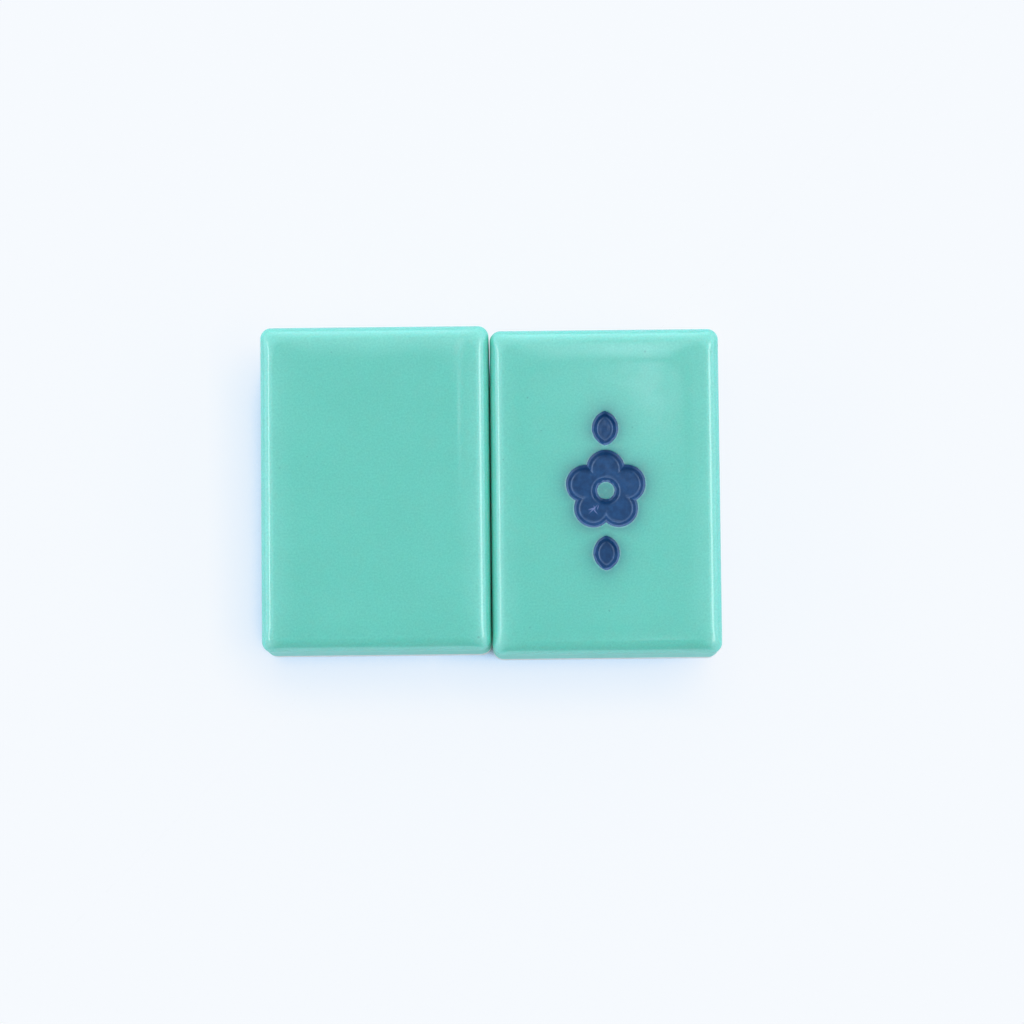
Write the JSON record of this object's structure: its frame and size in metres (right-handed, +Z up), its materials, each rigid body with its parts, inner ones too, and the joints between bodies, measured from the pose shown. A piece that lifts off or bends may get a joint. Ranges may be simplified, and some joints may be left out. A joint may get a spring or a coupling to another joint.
{
  "type": "mahjong tile pair",
  "caption": "Mahjong tiles lying face down side by side: rounded coloured backs bonded to white faces, sunk figures lined with enamel, and a loose tile that slides aside.",
  "frame": {"origin": "on the table, under the middle of the pair's bounding box", "axes": "+X across the pair from the plain tile to the marked one, +Y along the length of the tiles, +Z up out of their backs"},
  "size_m": [0.0424, 0.0306, 0.0125],
  "materials": {
    "mint_melamine": "polished moulded melamine, mint green",
    "white_melamine": "polished moulded melamine, ivory white",
    "navy_enamel": "glossy enamel paint, navy blue",
    "green_enamel": "glossy enamel paint, leaf green",
    "red_enamel": "glossy enamel paint, red"
  },
  "bodies": {
    "plain_tile": {"plain_back_slab": "mint_melamine", "plain_face_slab": "white_melamine", "plain_upper_ring": "green_enamel", "plain_upper_dot": "red_enamel", "plain_lower_ring": "navy_enamel", "plain_lower_dot": "red_enamel"},
    "marked_tile": {"marked_back_slab": "mint_melamine", "marked_face_slab": "white_melamine", "marked_upper_ring": "green_enamel", "marked_upper_dot": "red_enamel", "marked_lower_ring": "navy_enamel", "marked_lower_dot": "red_enamel", "back_blossom": "navy_enamel", "back_upper_leaf": "navy_enamel", "back_lower_leaf": "navy_enamel"}
  },
  "joints": [
    {"name": "marked_tile_slide", "type": "slide", "parent": "plain_tile", "child": "marked_tile", "axis": [1, 0, 0], "range_m": [0, 0.03]}
  ]
}
